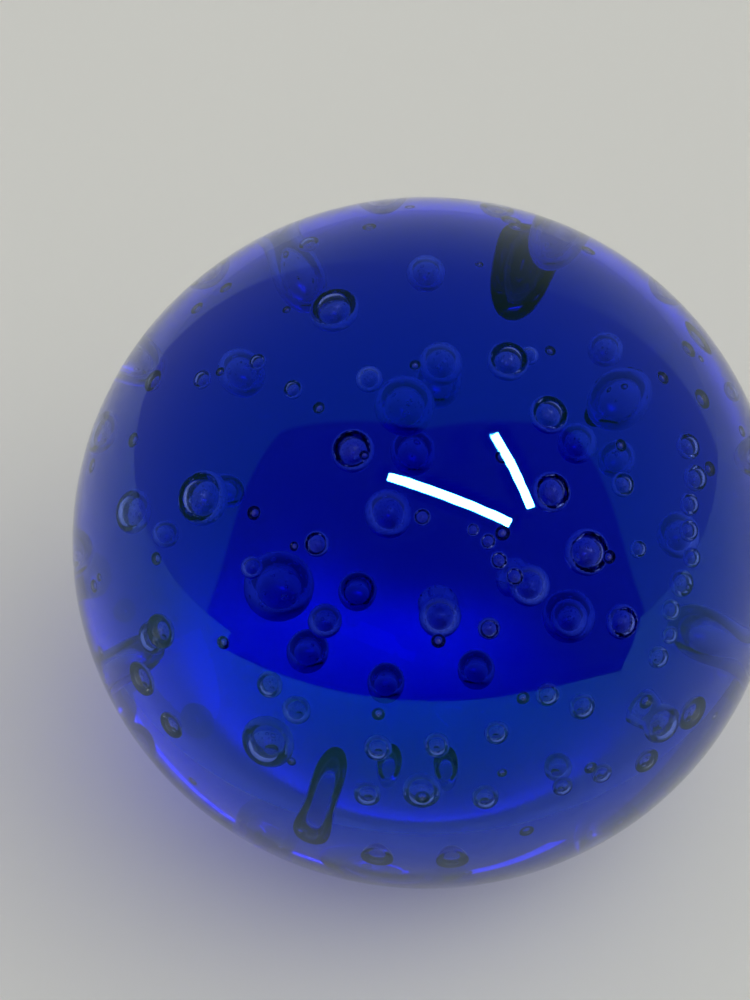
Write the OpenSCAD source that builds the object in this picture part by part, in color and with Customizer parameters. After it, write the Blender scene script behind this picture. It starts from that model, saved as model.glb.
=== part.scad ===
// Solid glass ball paperweight, full of trapped air bubbles, on a ground flat foot.
// It is built up as it was blown: three gathers of glass, one over the other, and an outer one.
// Air is caught wherever one gather closes over the dimpled skin of the last.
// The origin is the middle of the foot, +Z is up, and the ball's best face looks out over -Y.

/* [Ball] */
// Widest diameter of the ball
ball_d = 80; // [67:1:96]
// Height of the whole round over its width, before the foot is ground
ball_squash = 0.96; // [0.9:0.01:1]

/* [Foot] */
// Diameter of the flat that the ball rests on
foot_d = 30; // [25:1:36]
// Width of the fine bevel that is ground round the flat
bevel_w = 1.2; // [0.8:0.1:1.6]
// Slope of that bevel, in degrees from level
bevel_slope = 12; // [9:1:15]

/* [Gathers] */
// Thickness of the outer gather where it is thinnest, over the top of the ball
outer_t = 11.5; // [10:0.5:13.5]
// Thickness of the third gather
third_t = 7; // [6:0.5:8.5]
// Thickness of the second gather; the first one fills what is left at the heart
second_t = 6; // [5:0.5:7.5]

/* [Bubbles] */
// Radius of the largest bubble on the first gather
core_bubble_r = 2.6; // [1.8:0.1:3]
// Radius of the largest bubble on the second gather
second_bubble_r = 2.2; // [1.5:0.1:2.6]
// Radius of the largest bubble on the third gather
third_bubble_r = 2.5; // [1.8:0.1:3]
// Radius of the largest bubble that floats in the outer gather
outer_bubble_r = 1.7; // [1.2:0.1:2]
// Depth of those bubbles' middles below the ball's skin
outer_bubble_depth = 6; // [5.6:0.1:6.6]

/* [Chains] */
// Radius of the largest bubble in the chains
chain_bubble_r = 1.25; // [0.9:0.05:1.5]
// Least glass between one bubble of a chain and the next
chain_gap = 0.25; // [0.15:0.05:0.5]

/* [Torn pockets] */
// Radius of the round head of a torn pocket
torn_r = 1.8; // [1.4:0.1:2.1]
// Length of the open skirt behind the head, from the middle of the head
torn_tail = 3.2; // [2.7:0.1:3.8]
// Radius of the skirt at its open end
skirt_r = 1.7; // [1.4:0.1:2]
// Thickness of the air round the skirt's hollow
skirt_wall = 0.5; // [0.4:0.05:0.6]

/* [Seeds] */
// Number of fine bubbles just below the skin
seed_count = 110; // [60:1:130]
// Radius of the largest of them
seed_r = 0.85; // [0.5:0.05:1]
// Depth of their middles below the skin
seed_depth = 2.4; // [2.2:0.1:2.8]

/* [Hidden] */

ball_r = ball_d / 2;
third_r = ball_r * min(1, ball_squash) - outer_t;
second_r = third_r - third_t;
core_r = second_r - second_t;

// The bevel's outer edge lies on the skin, and that sets how high the ball's middle is
foot_r = foot_d / 2;
bevel_h = bevel_w * tan(bevel_slope);
middle_z = bevel_h + ball_r * ball_squash * sqrt(1 - pow((foot_r + bevel_w) / ball_r, 2));

gather_fn = 96;
bubble_fn = 48;
glass_blue = [0.06, 0.14, 0.55];
deep_blue = [0.03, 0.07, 0.38];
air_blue = [0.45, 0.62, 0.95];

// The best face: a direction 42 degrees up from the front. Every bubble's place is given as
// seen on that face: degrees away from its middle, and degrees round, anticlockwise from the right.
face_rise = 42;
face_out = [0, -cos(face_rise), sin(face_rise)];
face_right = [1, 0, 0];
face_up = [0, sin(face_rise), cos(face_rise)];
golden = 180 * (3 - sqrt(5));

function facing(away, around) =
    cos(away) * face_out + sin(away) * (cos(around) * face_right + sin(around) * face_up);

// Distance from the ball's middle to its skin along a unit direction
function skin_r(dir) =
    1 / sqrt((pow(dir.x, 2) + pow(dir.y, 2) + pow(dir.z / ball_squash, 2)) / pow(ball_r, 2));

// Bubbles of the first gather: [away, around, share of the largest]
core_marks = [
    [15, 150, 0.80], [50, 220, 0.55], [125, 200, 1.00], [75, 85, 0.70],
    [70, 330, 0.60], [120, 330, 0.75], [140, 100, 0.85], [110, 30, 0.60]
];

// Bubbles of the second gather, near side first and then the far side
second_marks = [
    [45, 110, 0.55], [85, 0, 0.85], [62, 233, 0.55], [60, 60, 0.40], [48, 190, 0.45],
    [145, 225, 0.65], [148, 255, 0.60], [150, 290, 0.60], [100, 90, 0.70], [110, 45, 0.60],
    [120, 140, 0.80], [135, 20, 0.60], [95, 180, 0.50], [165, 100, 0.75], [95, 300, 0.50]
];

// Bubbles of the third gather, from the top of the face down
third_marks = [
    [84, 112, 0.40], [54, 112, 0.95], [40, 65, 0.80], [35, 45, 0.75], [53, 134, 0.35],
    [41, 132, 0.38], [63, 145, 0.38], [26, 20, 0.75], [22, 130, 0.80], [42, 15, 0.48],
    [48, 170, 1.00], [70, 175, 0.80], [32, 355, 0.85], [44, 357, 0.35], [21, 183, 0.48],
    [4, 100, 0.33], [68, 200, 0.60], [44, 337, 0.65], [21, 305, 0.42], [44, 223, 0.50],
    [56, 232, 1.00], [44, 257, 0.52], [42, 273, 0.48], [42, 290, 0.45], [40, 308, 0.45],
    [48, 313, 0.50], [57, 257, 0.50], [54, 269, 0.70], [58, 283, 0.50], [64, 299, 0.38],
    [68, 307, 0.38]
];

// Bubbles of the outer gather: two near each limb of the face, the rest round the back
outer_marks = [
    [60, 315, 0.80], [64, 150, 0.70], [71, 346, 0.45], [70, 188, 0.40], [75, 75, 0.60],
    [100, 20, 0.80], [105, 115, 0.70], [120, 60, 1.00], [140, 120, 0.85], [110, 165, 0.70],
    [150, 40, 0.75], [125, 0, 0.60], [120, 200, 0.80]
];

// Bubbles that drifted out close to the skin: six near the limb of the face, and four low on
// the far side, which the ball shows drawn out along its limb. The glass left over each one.
skin_marks = [
    [47, 199, 1.05], [57, 206, 1.10], [56, 216, 0.90], [57.5, 327, 1.15], [62, 36, 0.60],
    [56, 27, 0.65], [158.5, 68, 1.05], [160, 261, 0.42], [160, 275, 0.42], [158.3, 248, 0.53]
];
skin_wall = 0.9;

// The far side of the third gather has bubbles on a golden spiral, clear of the foot
back_count = 26;
back_away = [98, 172];
foot_clear = 32;
back_marks = [
    for (i = [0 : back_count - 1])
        let (
            lean = cos(back_away[0])
                + (cos(back_away[1]) - cos(back_away[0])) * (i + 0.5) / back_count,
            mark = [acos(lean), 25 + i * golden, 0.35 + 0.4 * abs(sin(i * 73))]
        )
        if (facing(mark[0], mark[1]).z > -cos(foot_clear)) mark
];

// A bubble's solid is a ball at a place on a shell round the middle
module bubble(dir, shell_r, r) {
    translate([0, 0, middle_z] + shell_r * dir)
        sphere(r = r, $fn = bubble_fn);
}

module shell_bubbles(marks, shell_r, largest_r) {
    for (mark = marks)
        bubble(facing(mark[0], mark[1]), shell_r, largest_r * mark[2]);
}

module gather(r) {
    translate([0, 0, middle_z])
        sphere(r = r, $fn = gather_fn);
}

module core_pockets() {
    shell_bubbles(core_marks, core_r, core_bubble_r);
}

module second_pockets() {
    shell_bubbles(second_marks, second_r, second_bubble_r);
}

module third_pockets() {
    shell_bubbles(concat(third_marks, back_marks), third_r, third_bubble_r);
}

module skin_bubble(mark, depth) {
    dir = facing(mark[0], mark[1]);
    bubble(dir, skin_r(dir) - depth, outer_bubble_r * mark[2]);
}

module outer_pockets() {
    for (mark = outer_marks)
        skin_bubble(mark, outer_bubble_depth);
    for (mark = skin_marks)
        skin_bubble(mark, outer_bubble_r * mark[2] + skin_wall);
}

// Chains: each bubble clears the last by chain_gap, along a path over the third gather.
// A path is its two ends and how far it sways to either side, in degrees.
side_path = [facing(64, 19), facing(57, 330), 1.4];
side_sizes = [1, 1, 0.85, 0.8, 0.75, 1, 0.8, 0.65, 0.85];
middle_path = [facing(9, 10), facing(26, 330), 0.6];
middle_sizes = [0.5, 0.62, 0.7, 0.72];

function between(a, b) = acos(a * b);

// The point that is some degrees along the great circle from a towards b
function along(a, b, turn) =
    (sin(between(a, b) - turn) * a + sin(turn) * b) / sin(between(a, b));

// Degrees on the shell from the middle of bubble i to the middle of bubble i + 1
function pitch(sizes, i) =
    2 * asin((chain_bubble_r * (sizes[i] + sizes[i + 1]) + chain_gap) / (2 * third_r));

function run(sizes, i) = i == 0 ? 0 : run(sizes, i - 1) + pitch(sizes, i - 1);

module chain(path, sizes) {
    side = cross(path[0], path[1]) / norm(cross(path[0], path[1]));
    for (i = [0 : len(sizes) - 1]) {
        sway = path[2] * sin(i * 110);
        on_path = along(path[0], path[1], run(sizes, i));
        bubble(cos(sway) * on_path + sin(sway) * side, third_r, chain_bubble_r * sizes[i]);
    }
}

// A torn pocket: a round head that faces outwards, with an open skirt behind it where smaller
// bubbles ran into it. Each is [away, around, shell radius].
torn_marks = [[20, 280, second_r], [29, 335, second_r], [71, 322, third_r]];
neck_r = 0.65 * torn_r;
hollow_h = 0.3 * torn_tail;

module torn_pocket(dir, shell_r) {
    translate([0, 0, middle_z] + shell_r * dir)
        rotate([0, acos(dir.z), atan2(dir.y, dir.x)])
            difference() {
                union() {
                    sphere(r = torn_r, $fn = bubble_fn);
                    translate([0, 0, -torn_tail])
                        cylinder(h = torn_tail, r1 = skirt_r, r2 = neck_r, $fn = bubble_fn);
                }
                translate([0, 0, -torn_tail - skirt_wall])
                    cylinder(
                        h = hollow_h + skirt_wall,
                        r1 = skirt_r - skirt_wall, r2 = neck_r - skirt_wall,
                        $fn = bubble_fn
                    );
            }
}

module torn_pockets() {
    for (mark = torn_marks)
        torn_pocket(facing(mark[0], mark[1]), mark[2]);
}

// Seeds: a golden spiral from the top of the ball to just above the foot, each one nudged
// from its place by less than a third of the spacing. A seed that would crowd a bubble is left out.
seed_z = [0.985, -0.62];
seed_shift = rands(-1, 1, 2 * seed_count, 14);
seed_share = rands(0.5, 1, seed_count, 5);
seed_nudge = 190 / sqrt(seed_count) * 0.3;
seed_wall = 0.4;
seeds_laid = [
    for (i = [0 : seed_count - 1])
        let (
            level = seed_z[0] + (seed_z[1] - seed_z[0]) * (i + 0.5) / seed_count,
            rise = asin(level) + seed_nudge * seed_shift[2 * i] * 0.8,
            heading = i * golden + seed_nudge * seed_shift[2 * i + 1] / cos(asin(level)),
            dir = [cos(rise) * cos(heading), cos(rise) * sin(heading), sin(rise)]
        )
        if (clear_of_skin_marks(dir)) [dir, seed_r * seed_share[i]]
];

// Whether a seed in this direction leaves glass between itself and the bubbles near the skin
function clear_of_skin_marks(dir) =
    min([
        for (mark = skin_marks)
            between(dir, facing(mark[0], mark[1])) * PI / 180 * (ball_r - seed_depth)
                - outer_bubble_r * mark[2]
    ]) > seed_r + seed_wall;

module seed_pockets() {
    for (seed = seeds_laid)
        bubble(seed[0], skin_r(seed[0]) - seed_depth, seed[1]);
}

// What the grinding leaves: everything above the flat and above the bevel's cone
module above_foot() {
    wide = ball_r + 1;
    tall = middle_z + ball_r + 1;
    rotate_extrude($fn = gather_fn)
        polygon([
            [0, 0], [foot_r, 0], [wide, (wide - foot_r) * tan(bevel_slope)],
            [wide, tall], [0, tall]
        ]);
}

module core_gather() {
    color(deep_blue)
        difference() {
            gather(core_r);
            core_pockets();
        }
}

module second_gather() {
    color(deep_blue)
        difference() {
            gather(second_r);
            gather(core_r);
            core_pockets();
            second_pockets();
            torn_pockets();
        }
}

module third_gather() {
    color(glass_blue)
        difference() {
            gather(third_r);
            gather(second_r);
            second_pockets();
            third_pockets();
            chain(side_path, side_sizes);
            chain(middle_path, middle_sizes);
            torn_pockets();
        }
}

module outer_gather() {
    color(glass_blue)
        difference() {
            intersection() {
                translate([0, 0, middle_z])
                    scale([1, 1, ball_squash])
                        sphere(d = ball_d, $fn = gather_fn);
                above_foot();
            }
            gather(third_r);
            third_pockets();
            chain(side_path, side_sizes);
            chain(middle_path, middle_sizes);
            torn_pockets();
            outer_pockets();
            seed_pockets();
        }
}

module core_bubbles() {
    color(air_blue)
        core_pockets();
}

module second_bubbles() {
    color(air_blue)
        second_pockets();
}

module third_bubbles() {
    color(air_blue)
        third_pockets();
}

module outer_bubbles() {
    color(air_blue)
        outer_pockets();
}

module side_chain() {
    color(air_blue)
        chain(side_path, side_sizes);
}

module middle_chain() {
    color(air_blue)
        chain(middle_path, middle_sizes);
}

module torn_bubbles() {
    color(air_blue)
        torn_pockets();
}

module seeds() {
    color(air_blue)
        seed_pockets();
}

core_gather();
second_gather();
third_gather();
outer_gather();
core_bubbles();
second_bubbles();
third_bubbles();
outer_bubbles();
side_chain();
middle_chain();
torn_bubbles();
seeds();
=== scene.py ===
from math import cos, pi, radians, sin, sqrt

import bmesh
import bpy
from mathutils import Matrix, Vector


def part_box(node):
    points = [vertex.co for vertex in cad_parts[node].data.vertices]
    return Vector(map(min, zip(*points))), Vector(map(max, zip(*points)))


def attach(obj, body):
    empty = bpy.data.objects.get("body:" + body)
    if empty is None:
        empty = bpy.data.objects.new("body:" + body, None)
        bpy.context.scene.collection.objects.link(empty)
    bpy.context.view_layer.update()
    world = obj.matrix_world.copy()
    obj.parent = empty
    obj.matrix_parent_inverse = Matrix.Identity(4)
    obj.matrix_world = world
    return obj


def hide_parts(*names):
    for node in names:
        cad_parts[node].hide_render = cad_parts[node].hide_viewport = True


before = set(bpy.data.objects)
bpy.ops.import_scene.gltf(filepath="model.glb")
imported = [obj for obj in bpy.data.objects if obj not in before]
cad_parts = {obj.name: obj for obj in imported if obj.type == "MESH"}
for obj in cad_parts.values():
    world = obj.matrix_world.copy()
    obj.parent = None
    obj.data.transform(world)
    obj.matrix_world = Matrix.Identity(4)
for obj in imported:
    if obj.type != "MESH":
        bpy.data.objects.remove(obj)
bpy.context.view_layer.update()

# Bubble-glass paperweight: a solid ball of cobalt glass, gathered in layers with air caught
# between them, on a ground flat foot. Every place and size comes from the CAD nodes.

bl_info = {
    "name": "Bubble-glass paperweight",
    "version": (1, 0, 0),
    "blender": (4, 5, 0),
    "location": "3D View > Sidebar > Paperweight",
    "description": "Builds a cobalt bubble-glass paperweight round its CAD frame",
    "category": "Add Mesh",
}

MM = 0.001
MERGE = 0.001 * MM  # loose corners closer than this are one corner
ON_FOOT = 0.01 * MM  # corners lower than this lie on the flat foot

# The ball's rings of faces from pole to pole, and which of them the foot and its bevel take
RINGS = 144
FLAT_END, BEVEL_END = 10 / RINGS, 12 / RINGS
# What the CAD says about the ball
GATHERS = ("core_gather", "second_gather", "third_gather", "outer_gather")
SKIN_LOW, SKIN_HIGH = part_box("outer_gather")
HEART_LOW, HEART_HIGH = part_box("third_gather")
BALL_RADIUS = (SKIN_HIGH.x - SKIN_LOW.x) / 2
MIDDLE = (HEART_HIGH + HEART_LOW) / 2
HALF_HEIGHT = SKIN_HIGH.z - MIDDLE.z
FOOT_RADIUS = max(
    v.co.xy.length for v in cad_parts["outer_gather"].data.vertices if v.co.z < ON_FOOT
)


# ---------------------------------------------------------------- colours and nodes

def linear(hex_colour):
    """An sRGB hex colour as linear red, green, blue and alpha 1."""
    parts = [int(hex_colour[i:i + 2], 16) / 255 for i in (1, 3, 5)]
    return tuple(p / 12.92 if p <= 0.04045 else ((p + 0.055) / 1.055) ** 2.4 for p in parts) + (1.0,)


def add(tree, kind, settings=None, **inputs):
    """Adds a node, sets its properties, and sets or links its inputs by name or by number."""
    node = tree.nodes.new(kind)
    for name, value in (settings or {}).items():
        setattr(node, name, value)
    for name, value in inputs.items():
        key = int(name[1:]) if name[0] == "i" and name[1:].isdigit() else name.replace("_", " ")
        socket = node.inputs[key]
        if isinstance(value, bpy.types.NodeSocket):
            tree.links.new(value, socket)
        else:
            socket.default_value = value
    return node


def maths(tree, operation, *values):
    """A Math node's output, for numbers or sockets."""
    inputs = {f"i{n}": value for n, value in enumerate(values)}
    return add(tree, "ShaderNodeMath", {"operation": operation}, **inputs).outputs[0]


def steps(tree, value, low, high, start=0.0, end=1.0):
    """A value carried from one range to another, and held at its ends."""
    node = add(tree, "ShaderNodeMapRange", {"clamp": True}, i0=value, i1=low, i2=high, i3=start, i4=end)
    return node.outputs[0]


def blend(tree, share, first, second):
    """One number or the other, by a share from 0 to 1."""
    return add(tree, "ShaderNodeMix", {"data_type": "FLOAT"}, i0=share, i2=first, i3=second).outputs[0]


def new_material(name):
    """An empty node material and its output node."""
    material = bpy.data.materials.new(name)
    material.use_nodes = True
    material.node_tree.nodes.clear()
    return material, add(material.node_tree, "ShaderNodeOutputMaterial")


# ---------------------------------------------------------------- settings

class GlassSettings(bpy.types.PropertyGroup):
    """The glass itself: its tint, how it bends light and how its skin lies."""
    passed: bpy.props.FloatVectorProperty(
        name="Passed colour", description="Light that the cobalt glass lets through",
        subtype="COLOR", size=4, min=0, max=1, default=linear("#5494F4"),
    )
    density: bpy.props.FloatProperty(
        name="Density", description="How strongly the cobalt takes up light, per metre of glass",
        min=0, default=80.0,
    )
    ior: bpy.props.FloatProperty(
        name="IOR", description="Refractive index of soda-lime glass", min=1, max=2, default=1.52,
    )
    sheen: bpy.props.FloatVectorProperty(
        name="Sheen", description="Tint of what the skin reflects straight on",
        subtype="COLOR", size=4, min=0, max=1, default=linear("#38E4FF"),
    )
    bevel: bpy.props.FloatProperty(
        name="Foot bevel", description="Width of the fine bevel round the flat foot",
        unit="LENGTH", default=1.2 * MM,
    )
    ripple: bpy.props.FloatProperty(
        name="Ripple", description="Height of the slow waves that fire polishing leaves in the skin",
        unit="LENGTH", default=0.05 * MM,
    )
    ripple_width: bpy.props.FloatProperty(
        name="Ripple width", description="Distance from one slow wave to the next",
        unit="LENGTH", default=30 * MM,
    )


class BubbleSettings(bpy.types.PropertyGroup):
    """How the trapped air differs from true balls."""
    stretch: bpy.props.FloatProperty(
        name="Stretch", description="How far a bubble is drawn out of round", default=0.06,
    )
    dents: bpy.props.FloatProperty(
        name="Dents", description="Depth of the dents in a bubble's wall, as a share of its radius",
        default=0.03,
    )
    seed: bpy.props.IntProperty(name="Seed", description="Picks another scatter of shapes", default=7)


class StageSettings(bpy.types.PropertyGroup):
    """The pale floor and the camera."""
    floor_colour: bpy.props.FloatVectorProperty(
        name="Floor", description="Colour of the seamless sheet", subtype="COLOR", size=4,
        min=0, max=1, default=linear("#DADBD8"),
    )
    rise: bpy.props.FloatProperty(
        name="Camera rise", description="How far the camera looks down from level",
        subtype="ANGLE", default=radians(42),
    )
    distance: bpy.props.FloatProperty(
        name="Camera distance", description="From the middle of the ball to the camera",
        unit="LENGTH", default=205 * MM,
    )


# ---------------------------------------------------------------- materials

def cobalt_glass(settings):
    """Soda-lime glass stained with cobalt, fire polished: a clear, wet-looking skin that is
    colourless at the surface and gets its blue from the depth of glass that light crosses."""
    material, output = new_material("Cobalt glass, fire polished")
    tree = material.node_tree
    skin = add(tree, "ShaderNodeBsdfPrincipled", Base_Color=(1, 1, 1, 1), Roughness=0.0, IOR=settings.ior)
    skin.inputs["Transmission Weight"].default_value = 1.0
    skin.inputs["Specular Tint"].default_value = tuple(settings.sheen)
    depth = add(
        tree, "ShaderNodeVolumeAbsorption",
        Color=tuple(settings.passed), Density=settings.density,
    )
    tree.links.new(skin.outputs[0], output.inputs["Surface"])
    tree.links.new(depth.outputs[0], output.inputs["Volume"])
    return material


def bubble_wall(settings):
    """The wall of an air bubble inside glass: the same clean surface seen from the other side,
    so its index is one over that of the glass and steep light is thrown back like a mirror."""
    material, output = new_material("Trapped air, bubble wall")
    tree = material.node_tree
    wall = add(tree, "ShaderNodeBsdfGlass", Roughness=0.0, IOR=1 / settings.ior)
    tree.links.new(wall.outputs[0], output.inputs["Surface"])
    return material


def pale_sheet(settings):
    """Matt seamless paper."""
    material, output = new_material("Seamless sheet, matt paper")
    tree = material.node_tree
    sheet = add(tree, "ShaderNodeBsdfDiffuse", Color=tuple(settings.floor_colour))
    tree.links.new(sheet.outputs[0], output.inputs["Surface"])
    return material


# ---------------------------------------------------------------- pieces

def link(name, mesh):
    """Puts a mesh in the scene as a piece."""
    piece = bpy.data.objects.new(name, mesh)
    bpy.context.scene.collection.objects.link(piece)
    return piece


def settle(piece, slot, *nodes):
    """Rides the piece on the row's one body, in place of its CAD nodes."""
    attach(piece, "root")
    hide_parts(*nodes)
    return piece


def tree_of(name, **sockets):
    """An empty Geometry Nodes tree with named inputs: each is (socket type, default)."""
    tree = bpy.data.node_groups.new(name, "GeometryNodeTree")
    tree.interface.new_socket("Geometry", in_out="OUTPUT", socket_type="NodeSocketGeometry")
    tree.interface.new_socket("Geometry", in_out="INPUT", socket_type="NodeSocketGeometry")
    for key in sockets:
        tree.interface.new_socket(
            key.replace("_", " "), in_out="INPUT", socket_type="NodeSocket" + sockets[key],
        )
    return tree, add(tree, "NodeGroupInput").outputs, add(tree, "NodeGroupOutput")


def grown(name, base, tree, material, **values):
    """Runs a Geometry Nodes tree on a base mesh and keeps the result as a plain mesh."""
    values["Material"] = material
    worker = link(name + "_worker", base)
    base.materials.append(material)
    modifier = worker.modifiers.new(tree.name, "NODES")
    modifier.node_group = tree
    for item in tree.interface.items_tree:
        key = item.name.replace(" ", "_")
        if item.in_out == "INPUT" and key in values:
            modifier[item.identifier] = values[key]
    graph = bpy.context.evaluated_depsgraph_get()
    mesh = bpy.data.meshes.new_from_object(worker.evaluated_get(graph))
    mesh.name = name
    worker.modifiers.remove(modifier)
    bpy.data.objects.remove(worker)
    return link(name, mesh)


def ball_tree():
    """A ball whose lowest rings are laid out as a flat foot and its bevel, with a slow ripple
    over the rest. It starts from a round ball's rings, so every ring stays a true circle."""
    tree, given, output = tree_of(
        "Blown ball", Radius="Float", Half_height="Float", Middle="Float", Foot_radius="Float",
        Bevel="Float", Ripple="Float", Ripple_width="Float", Material="Material",
    )
    ball = add(tree, "GeometryNodeMeshUVSphere", Segments=192, Rings=RINGS, Radius=1.0)
    place = add(tree, "GeometryNodeInputPosition")
    split = add(tree, "ShaderNodeSeparateXYZ", Vector=place.outputs[0])
    level = maths(tree, "MAXIMUM", maths(tree, "MINIMUM", split.outputs["Z"], 1.0), -1.0)
    rise = maths(tree, "DIVIDE", maths(tree, "ARCCOSINE", maths(tree, "MULTIPLY", level, -1.0)), pi)
    rim = maths(tree, "ADD", given["Foot radius"], given["Bevel"])
    start = maths(tree, "ARCSINE", maths(tree, "DIVIDE", rim, given["Radius"]))
    turn = steps(tree, rise, BEVEL_END, 1.0, start, pi)
    reach = maths(tree, "MULTIPLY", given["Radius"], maths(tree, "SINE", turn))
    skin = maths(tree, "SUBTRACT", reach, rim)
    flat = steps(tree, rise, 0.0, FLAT_END, 0.0, given["Foot radius"])
    bevel = steps(tree, rise, FLAT_END, BEVEL_END, 0.0, given["Bevel"])
    across = maths(tree, "ADD", maths(tree, "ADD", flat, bevel), skin)

    drop = maths(tree, "MULTIPLY", given["Half height"], maths(tree, "COSINE", turn))
    up = maths(tree, "SUBTRACT", given["Middle"], drop)
    lip = maths(tree, "SUBTRACT", given["Middle"],
                maths(tree, "MULTIPLY", given["Half height"], maths(tree, "COSINE", start)))
    ground = maths(tree, "MULTIPLY", lip, steps(tree, rise, FLAT_END, BEVEL_END, 1.0, 0.0))
    up = maths(tree, "SUBTRACT", up, ground)

    flat_place = add(tree, "ShaderNodeCombineXYZ", X=split.outputs["X"], Y=split.outputs["Y"])
    outward = add(tree, "ShaderNodeVectorMath", {"operation": "NORMALIZE"}, i0=flat_place.outputs[0])
    sideways = add(
        tree, "ShaderNodeVectorMath", {"operation": "SCALE"}, i0=outward.outputs[0], Scale=across,
    )
    lifted = add(tree, "ShaderNodeCombineXYZ", Z=up)
    at = add(
        tree, "ShaderNodeVectorMath", {"operation": "ADD"},
        i0=sideways.outputs[0], i1=lifted.outputs[0],
    )
    shaped = add(tree, "GeometryNodeSetPosition", Geometry=ball.outputs["Mesh"], Position=at.outputs[0])

    waves = add(
        tree, "ShaderNodeTexNoise", {"noise_dimensions": "3D"}, Detail=1.0,
        Scale=maths(tree, "DIVIDE", 1.0, given["Ripple width"]),
    )
    sunk = maths(tree, "MULTIPLY", maths(tree, "SUBTRACT", waves.outputs[0], 1.0), given["Ripple"])
    calm = 0.12  # share of the skin above the bevel over which the ripple comes in
    sunk = maths(tree, "MULTIPLY", sunk, steps(tree, rise, BEVEL_END, BEVEL_END + calm, 0.0, 1.0))
    normal = add(tree, "GeometryNodeInputNormal")
    shift = add(tree, "ShaderNodeVectorMath", {"operation": "SCALE"}, i0=normal.outputs[0], Scale=sunk)
    rippled = add(tree, "GeometryNodeSetPosition", Geometry=shaped.outputs[0], Offset=shift.outputs[0])
    polished = add(tree, "FunctionNodeCompare", {"operation": "GREATER_THAN"}, i0=rise, i1=BEVEL_END)
    smooth = add(tree, "GeometryNodeSetShadeSmooth", Geometry=rippled.outputs[0],
                 Shade_Smooth=polished.outputs[0])
    painted = add(tree, "GeometryNodeSetMaterial", Geometry=smooth.outputs[0], Material=given["Material"])
    tree.links.new(painted.outputs[0], output.inputs[0])
    return tree


def bubble_tree():
    """Sets a bubble on every point, as large as the point's radius, drawn a little out of round
    and dented by noise, each in its own way."""
    tree, given, output = tree_of(
        "Trapped bubbles", Fineness="Int", Stretch="Float", Dents="Float", Seed="Int",
        Material="Material",
    )
    form = add(tree, "GeometryNodeMeshIcoSphere", Radius=1.0, Subdivisions=given["Fineness"])
    radius = add(tree, "GeometryNodeInputNamedAttribute", {"data_type": "FLOAT"}, Name="radius")
    size = radius.outputs["Attribute"]
    low = maths(tree, "SUBTRACT", 1.0, given["Stretch"])
    drawn = add(tree, "FunctionNodeRandomValue", {"data_type": "FLOAT_VECTOR"}, Seed=given["Seed"])
    for socket, value in (("Min", low), ("Max", 1.0)):
        joined = add(tree, "ShaderNodeCombineXYZ", X=value, Y=value, Z=value)
        target = next(s for s in drawn.inputs if s.name == socket and s.type == "VECTOR")
        tree.links.new(joined.outputs[0], target)
    turned = add(tree, "FunctionNodeRandomValue", {"data_type": "FLOAT_VECTOR"}, Seed=given["Seed"])
    full_turn = 6.28
    target = next(s for s in turned.inputs if s.name == "Max" and s.type == "VECTOR")
    target.default_value = (full_turn,) * 3
    scale = add(tree, "ShaderNodeVectorMath", {"operation": "SCALE"}, i0=drawn.outputs[0], Scale=size)
    set_out = add(
        tree, "GeometryNodeInstanceOnPoints", Points=given["Geometry"],
        Instance=form.outputs["Mesh"], Rotation=turned.outputs[0], Scale=scale.outputs[0],
    )
    real = add(tree, "GeometryNodeRealizeInstances", Geometry=set_out.outputs[0])
    place = add(tree, "GeometryNodeInputPosition")
    dents_per_radius = 0.9
    rough = add(
        tree, "ShaderNodeTexNoise", Vector=place.outputs[0], Detail=0.0,
        Scale=maths(tree, "DIVIDE", dents_per_radius, size),
    )
    depth = maths(tree, "MULTIPLY", maths(tree, "SUBTRACT", rough.outputs[0], 0.5), given["Dents"])
    depth = maths(tree, "MULTIPLY", depth, size)
    normal = add(tree, "GeometryNodeInputNormal")
    shift = add(tree, "ShaderNodeVectorMath", {"operation": "SCALE"}, i0=normal.outputs[0], Scale=depth)
    dented = add(tree, "GeometryNodeSetPosition", Geometry=real.outputs[0], Offset=shift.outputs[0])
    smooth = add(tree, "GeometryNodeSetShadeSmooth", Geometry=dented.outputs[0])
    painted = add(tree, "GeometryNodeSetMaterial", Geometry=smooth.outputs[0], Material=given["Material"])
    tree.links.new(painted.outputs[0], output.inputs[0])
    return tree


def islands(node):
    """The CAD node's separate solids, as lists of vertex places."""
    form = bmesh.new()
    form.from_mesh(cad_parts[node].data)
    bmesh.ops.remove_doubles(form, verts=form.verts, dist=MERGE)
    left = set(form.verts)
    found = []
    while left:
        edge = [left.pop()]
        island = []
        while edge:
            vert = edge.pop()
            island.append(vert.co.copy())
            for side in vert.link_edges:
                other = side.other_vert(vert)
                if other in left:
                    left.remove(other)
                    edge.append(other)
        found.append(island)
    form.free()
    return found


def bubble_points(node):
    """A mesh with one point in the middle of each of the node's bubbles, with its radius."""
    places, radii = [], []
    for island in islands(node):
        low = Vector([min(co[a] for co in island) for a in range(3)])
        high = Vector([max(co[a] for co in island) for a in range(3)])
        places.append((low + high) / 2)
        radii.append(max(high - low) / 2)
    order = sorted(range(len(places)), key=lambda n: tuple(round(c, 6) for c in places[n]))
    mesh = bpy.data.meshes.new(node + "_points")
    mesh.from_pydata([places[n] for n in order], [], [])
    mesh.attributes.new("radius", "FLOAT", "POINT").data.foreach_set("value", [radii[n] for n in order])
    return mesh


def shared(name, make, *arguments):
    """A tree or material that is made once and then used again."""
    kept = bpy.data.node_groups.get(name) or bpy.data.materials.get(name)
    return kept or make(*arguments)


def wall_material(context):
    return shared("Trapped air, bubble wall", bubble_wall, context.scene.paperweight_glass)


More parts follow.
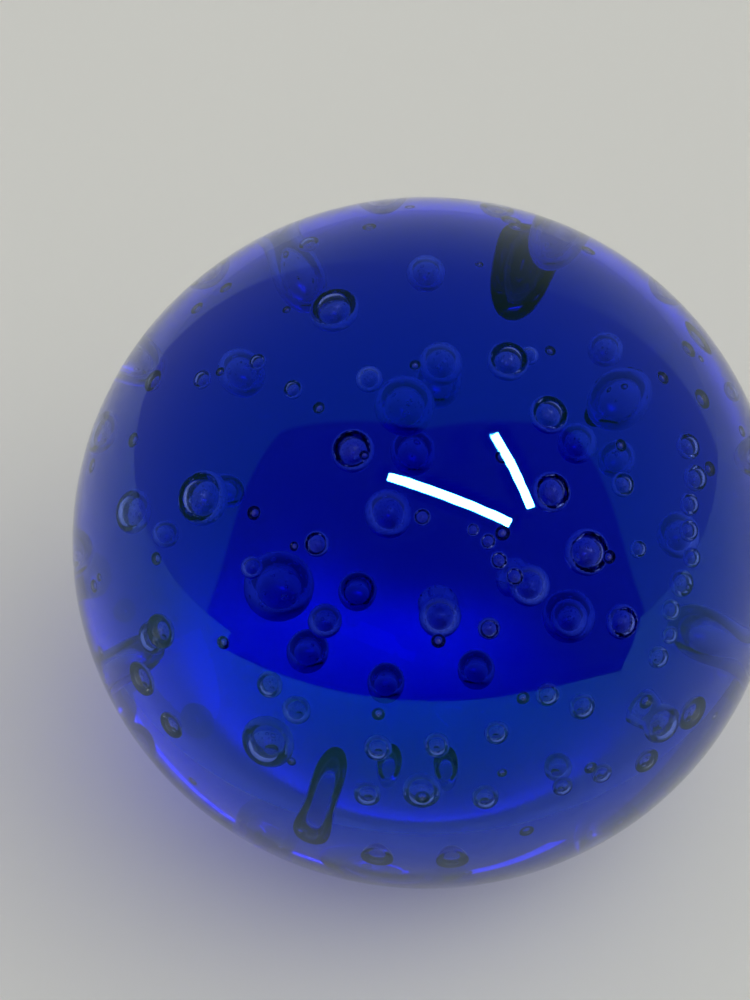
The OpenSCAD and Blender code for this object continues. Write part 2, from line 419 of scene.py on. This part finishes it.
def add_bubbles(context, node, fineness):
    """One piece of bubbles that stands for one CAD node."""
    settings = context.scene.paperweight_bubbles
    piece = grown(
        node + "_air", bubble_points(node), shared("Trapped bubbles", bubble_tree),
        wall_material(context), Fineness=fineness, Stretch=settings.stretch,
        Dents=settings.dents, Seed=settings.seed,
    )
    return settle(piece, "trapped_air", node)


# ---------------------------------------------------------------- operators

class PAPERWEIGHT_OT_ball(bpy.types.Operator):
    """Blow the ball: the four gathers, fused into one lump of cobalt glass with a ground foot"""
    bl_idname = "paperweight.ball"
    bl_label = "Glass ball"

    def execute(self, context):
        settings = context.scene.paperweight_glass
        ball = grown(
            "glass_ball", bpy.data.meshes.new("empty"), ball_tree(), cobalt_glass(settings),
            Radius=BALL_RADIUS, Half_height=HALF_HEIGHT, Middle=MIDDLE.z, Foot_radius=FOOT_RADIUS,
            Bevel=settings.bevel, Ripple=settings.ripple, Ripple_width=settings.ripple_width,
        )
        settle(ball, "cobalt_glass", *GATHERS)
        return {"FINISHED"}


class PAPERWEIGHT_OT_bubbles(bpy.types.Operator):
    """Trap the round bubbles between the gathers and in the outer one"""
    bl_idname = "paperweight.bubbles"
    bl_label = "Round bubbles"

    def execute(self, context):
        for node, fineness in (
            ("core_bubbles", 5), ("second_bubbles", 5), ("third_bubbles", 4), ("outer_bubbles", 4),
        ):
            add_bubbles(context, node, fineness)
        return {"FINISHED"}


class PAPERWEIGHT_OT_chains(bpy.types.Operator):
    """String the two chains of bubbles"""
    bl_idname = "paperweight.chains"
    bl_label = "Bubble chains"

    def execute(self, context):
        for node in ("side_chain", "middle_chain"):
            add_bubbles(context, node, 4)
        return {"FINISHED"}


class PAPERWEIGHT_OT_seeds(bpy.types.Operator):
    """Scatter the fine seeds under the skin"""
    bl_idname = "paperweight.seeds"
    bl_label = "Seeds"

    def execute(self, context):
        add_bubbles(context, "seeds", 3)
        return {"FINISHED"}


class PAPERWEIGHT_OT_torn(bpy.types.Operator):
    """Tear the ragged pockets, where several bubbles ran together"""
    bl_idname = "paperweight.torn"
    bl_label = "Torn pockets"

    def execute(self, context):
        form = bmesh.new()
        form.from_mesh(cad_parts["torn_bubbles"].data)
        bmesh.ops.remove_doubles(form, verts=form.verts, dist=MERGE)
        mesh = bpy.data.meshes.new("torn_bubbles_air")
        form.to_mesh(mesh)
        form.free()
        mesh.shade_smooth()
        piece = link("torn_bubbles_air", mesh)
        mesh.materials.append(wall_material(context))
        settle(piece, "trapped_air", "torn_bubbles")
        return {"FINISHED"}


class PAPERWEIGHT_OT_stage(bpy.types.Operator):
    """Lay the pale sheet, light it softly and set the camera"""
    bl_idname = "paperweight.stage"
    bl_label = "Stage"

    def execute(self, context):
        settings = context.scene.paperweight_stage
        lay_floor(settings)
        # A near-black card of painted shade for the unlit room, seen only in the ball's skin
        lay_painted_shade_floor()
        hang_tubes()
        light_tent(context)
        set_camera(context, settings)
        trace_glass(context.scene)
        return {"FINISHED"}


# ---------------------------------------------------------------- stage

def trace_glass(scene):
    """Plain colours, a sharp glow under the glass, and light that can cross many bubbles."""
    scene.view_settings.view_transform = "Standard"
    cycles = scene.cycles
    cycles.blur_glossy = 0
    cycles.max_bounces = cycles.transmission_bounces = 32
    cycles.glossy_bounces = 16


def lay_floor(settings):
    """A wide flat sheet, a hair below the foot, so that the foot keeps its film of air."""
    reach, gap = 4.0, 0.05 * MM
    corners = [(-reach, -reach), (reach, -reach), (reach, reach), (-reach, reach)]
    mesh = bpy.data.meshes.new("sheet")
    mesh.from_pydata([(x, y, -gap) for x, y in corners], [], [(0, 1, 2, 3)])
    mesh.materials.append(pale_sheet(settings))
    link("sheet", mesh)


def glow(tree, way, aim, tightness, strength):
    """A soft round glow about a direction: full strength in its middle, fading to 0."""
    middle = Vector(aim).normalized()
    dot = add(tree, "ShaderNodeVectorMath", {"operation": "DOT_PRODUCT"}, i0=way, i1=middle)
    apart = maths(tree, "SUBTRACT", dot.outputs["Value"], 1.0)
    share = maths(tree, "EXPONENT", maths(tree, "MULTIPLY", apart, tightness))
    return maths(tree, "MULTIPLY", share, strength)


def light_path(tree):
    """The Light Path outputs, and whether a ray has passed into the glass: 0 or 1."""
    path = add(tree, "ShaderNodeLightPath").outputs
    return path, maths(tree, "GREATER_THAN", path["Transmission Depth"], 0.5)


def room_in_front(tree, x, y, z):
    """1 where a direction leaves the tent for the room, 0 on the tent, with a soft edge. The
    tent reaches further forward beside the ball than above it."""
    side = maths(tree, "ABSOLUTE", x)
    lift = maths(tree, "POWER", steps(tree, z, 0.1, 0.76), 2.0)
    flank = maths(tree, "MULTIPLY", side, steps(tree, lift, 0.0, 1.0, -0.42, 0.0))
    roof = steps(tree, side, 0.0, 0.62, -0.156, 0.0)
    edge = maths(tree, "ADD", flank, roof)
    soft = 0.012
    return steps(tree, maths(tree, "SUBTRACT", edge, y), -soft, soft)


def tent_walls(tree, x, y, z):
    """Dim walls beside the ball, and the lit backdrop behind it under an arched top edge."""
    off = maths(tree, "SUBTRACT", x, 0.12)
    fall = maths(tree, "MULTIPLY", maths(tree, "MULTIPLY", off, off), 1.1)
    arch = maths(tree, "SUBTRACT", 0.63, fall)
    soft = 0.015
    under = steps(tree, maths(tree, "SUBTRACT", arch, z), -soft, soft)
    behind = maths(tree, "MULTIPLY", steps(tree, y, -0.1, 0.15), under)
    wall = steps(tree, z, 0.0, 0.8, 0.30, 0.22)
    backdrop = steps(tree, z, 0.15, 0.6, 0.50, 0.26)
    return blend(tree, behind, wall, backdrop)


def sheet_light(tree, way, x, y, z):
    """What lights the sheet: brighter from the right, from in front and from above, with a
    broad glow on the right and three small lamps that the ball gathers into a blue glow."""
    cast = steps(tree, x, -0.9, 0.7, 0.19, 0.50)
    cast = maths(tree, "MULTIPLY", cast, steps(tree, y, -0.7, 0.3, 2.6, 0.95))
    cast = maths(tree, "MULTIPLY", cast, steps(tree, z, 0.15, 0.75, 0.08, 1.2))
    cast = maths(tree, "ADD", cast, glow(tree, way, (0.80, -0.25, 0.80), 6.0, 1.2))
    for lamp in ((0.145, -0.98, 1.0), (0.055, -0.90, 1.0), (-0.04, -0.90, 1.0)):
        cast = maths(tree, "ADD", cast, glow(tree, way, lamp, 1500.0, 13.0))
    return cast


def light_tent(context):
    """A white tent, open towards a room in front, which is dark in the ball's skin and lighter
    to rays from inside the glass. Bare of the ball, it looks like one even pale backdrop."""
    world = bpy.data.worlds.new("Light tent")
    world.use_nodes = True
    context.scene.world = world
    tree = world.node_tree
    tree.nodes.clear()
    output = add(tree, "ShaderNodeOutputWorld")
    way = add(tree, "ShaderNodeTexCoord").outputs["Generated"]
    places = add(tree, "ShaderNodeSeparateXYZ", Vector=way).outputs

    path, inside = light_path(tree)
    dark, dim = 0.004, 0.50
    through_glass = maths(tree, "ADD", dim, glow(tree, way, (0.36, -0.52, 0.76), 60.0, 3.0))
    room = blend(tree, inside, dark, through_glass)
    shown = blend(tree, room_in_front(tree, *places), tent_walls(tree, *places), room)
    cast = sheet_light(tree, way, *places)

    lighting = maths(tree, "GREATER_THAN", path["Diffuse Depth"], 0.5)
    tent = add(tree, "ShaderNodeBackground", Color=linear("#FFFEFA"),
               Strength=blend(tree, lighting, shown, cast))
    seen = add(tree, "ShaderNodeBackground", Color=linear("#C4C4BF"), Strength=1.0)
    choice = add(tree, "ShaderNodeMixShader", i0=path["Is Camera Ray"],
                 i1=tent.outputs[0], i2=seen.outputs[0])
    tree.links.new(choice.outputs[0], output.inputs["Surface"])


def lay_card(name, corners, faces, material):
    """A card on the stage that only the glass shows: it lights nothing and throws no shadow."""
    mesh = bpy.data.meshes.new(name)
    mesh.from_pydata(corners, [], faces)
    mesh.materials.append(material)
    card = link(name, mesh)
    for ray in ("camera", "diffuse", "shadow", "volume_scatter"):
        setattr(card, "visible_" + ray, False)
    return card


def hang_tubes():
    """Two tube lights high in the room, seen in the glass as thin white streaks."""
    material, output = new_material("Tube light")
    tree = material.node_tree
    path, inside = light_path(tree)
    shown = maths(tree, "LESS_THAN", path["Diffuse Depth"], 0.5)
    in_skin, through_glass = 1200.0, 6.0
    glare = blend(tree, inside, in_skin, through_glass)
    lamp = add(tree, "ShaderNodeEmission", Color=linear("#FFFFFF"),
               Strength=maths(tree, "MULTIPLY", shown, glare))
    tree.links.new(lamp.outputs[0], output.inputs["Surface"])
    away, width = 1.5, 65 * MM
    for n, (first, last) in enumerate((
        ((-0.185, -0.40, 0.90), (0.42, -0.56, 0.725)),
        ((0.32, -0.16, 0.935), (0.51, -0.46, 0.73)),
    )):
        first, last = (MIDDLE + Vector(way).normalized() * away for way in (first, last))
        across = (last - first).cross(first + last - 2 * MIDDLE).normalized() * width / 2
        corners = [first - across, last - across, last + across, first + across]
        lay_card(f"tube_light_{n + 1}", corners, [(0, 1, 2, 3)], material)


def lay_painted_shade_floor():
    """The room's floor past the front edge of the sheet, which only the ball's skin shows: a near-black
    card, painted shade that stands for the unlit room in the ball's reflection.
    """
    material, output = new_material("Room floor, painted shade")
    tree = material.node_tree
    # Near-black colour: painted shade for the unlit room, seen only as a reflection in the ball's skin
    floor = add(tree, "ShaderNodeBsdfDiffuse", Color=linear("#050608"))
    inside = light_path(tree)[1]
    clear = add(tree, "ShaderNodeBsdfTransparent")
    choice = add(tree, "ShaderNodeMixShader", i0=inside, i1=floor.outputs[0], i2=clear.outputs[0])
    tree.links.new(choice.outputs[0], output.inputs["Surface"])
    # Its near edge is an arc, and its sides fan out from the arc's ends
    middle, radius, reach, count = Vector((-70 * MM, -290 * MM, 0.1 * MM)), 305 * MM, 6.0, 48
    arc_start, arc_turn = 170, 216
    fan_start, fan_turn = 212, 124
    corners, faces = [], []
    for n in range(count + 1):
        near = radians(arc_start + arc_turn * n / count)
        far = radians(fan_start + fan_turn * n / count)
        edge = middle + radius * Vector((cos(near), sin(near), 0))
        corners += [edge, edge + reach * Vector((cos(far), sin(far), 0))]
        if n:
            faces.append((2 * n - 2, 2 * n - 1, 2 * n + 1, 2 * n))
    # The painted shade card, seen only in the ball's skin
    lay_card("dark_floor", corners, faces, material).visible_transmission = False


def set_camera(context, settings):
    """The camera looks down on the ball's best face from in front."""
    data = bpy.data.cameras.new("Camera")
    camera = bpy.data.objects.new("Camera", data)
    context.scene.collection.objects.link(camera)
    back = Vector((0, -cos(settings.rise), sin(settings.rise)))
    camera.location = MIDDLE + settings.distance * back
    camera.rotation_euler = (-back).to_track_quat("-Z", "Y").to_euler()
    data.sensor_fit = "HORIZONTAL"
    data.sensor_width = 36
    share = 0.945  # of the picture's width that the ball fills
    spread = BALL_RADIUS / settings.distance
    data.lens = share * data.sensor_width / (2 * spread / sqrt(1 - spread ** 2))
    # The ball stands right of and below the picture's middle
    data.shift_x, data.shift_y = -0.068, 0.0535
    data.clip_start = 5 * MM
    context.scene.camera = camera


# ---------------------------------------------------------------- panel and order of work

class PAPERWEIGHT_PT_panel(bpy.types.Panel):
    """Buttons and sizes of the paperweight"""
    bl_idname = "PAPERWEIGHT_PT_panel"
    bl_label = "Paperweight"
    bl_space_type = "VIEW_3D"
    bl_region_type = "UI"
    bl_category = "Paperweight"

    def draw(self, context):
        for operator in OPERATORS:
            self.layout.operator(operator.bl_idname)
        for group in (context.scene.paperweight_glass, context.scene.paperweight_bubbles,
                      context.scene.paperweight_stage):
            box = self.layout.box()
            for name in group.__annotations__:
                box.prop(group, name)


OPERATORS = (
    PAPERWEIGHT_OT_ball, PAPERWEIGHT_OT_bubbles, PAPERWEIGHT_OT_chains, PAPERWEIGHT_OT_torn,
    PAPERWEIGHT_OT_seeds, PAPERWEIGHT_OT_stage,
)
GROUPS = {
    "paperweight_glass": GlassSettings,
    "paperweight_bubbles": BubbleSettings,
    "paperweight_stage": StageSettings,
}


def register():
    for kind in (*GROUPS.values(), *OPERATORS, PAPERWEIGHT_PT_panel):
        bpy.utils.register_class(kind)
    for name, kind in GROUPS.items():
        setattr(bpy.types.Scene, name, bpy.props.PointerProperty(type=kind))


def unregister():
    for name in GROUPS:
        delattr(bpy.types.Scene, name)
    for kind in (PAPERWEIGHT_PT_panel, *reversed(OPERATORS), *GROUPS.values()):
        bpy.utils.unregister_class(kind)


def main():
    """Builds every piece in order."""
    register()
    bpy.ops.paperweight.ball()
    bpy.ops.paperweight.bubbles()
    bpy.ops.paperweight.chains()
    bpy.ops.paperweight.torn()
    bpy.ops.paperweight.seeds()
    bpy.ops.paperweight.stage()


if __name__ == "__main__":
    main()
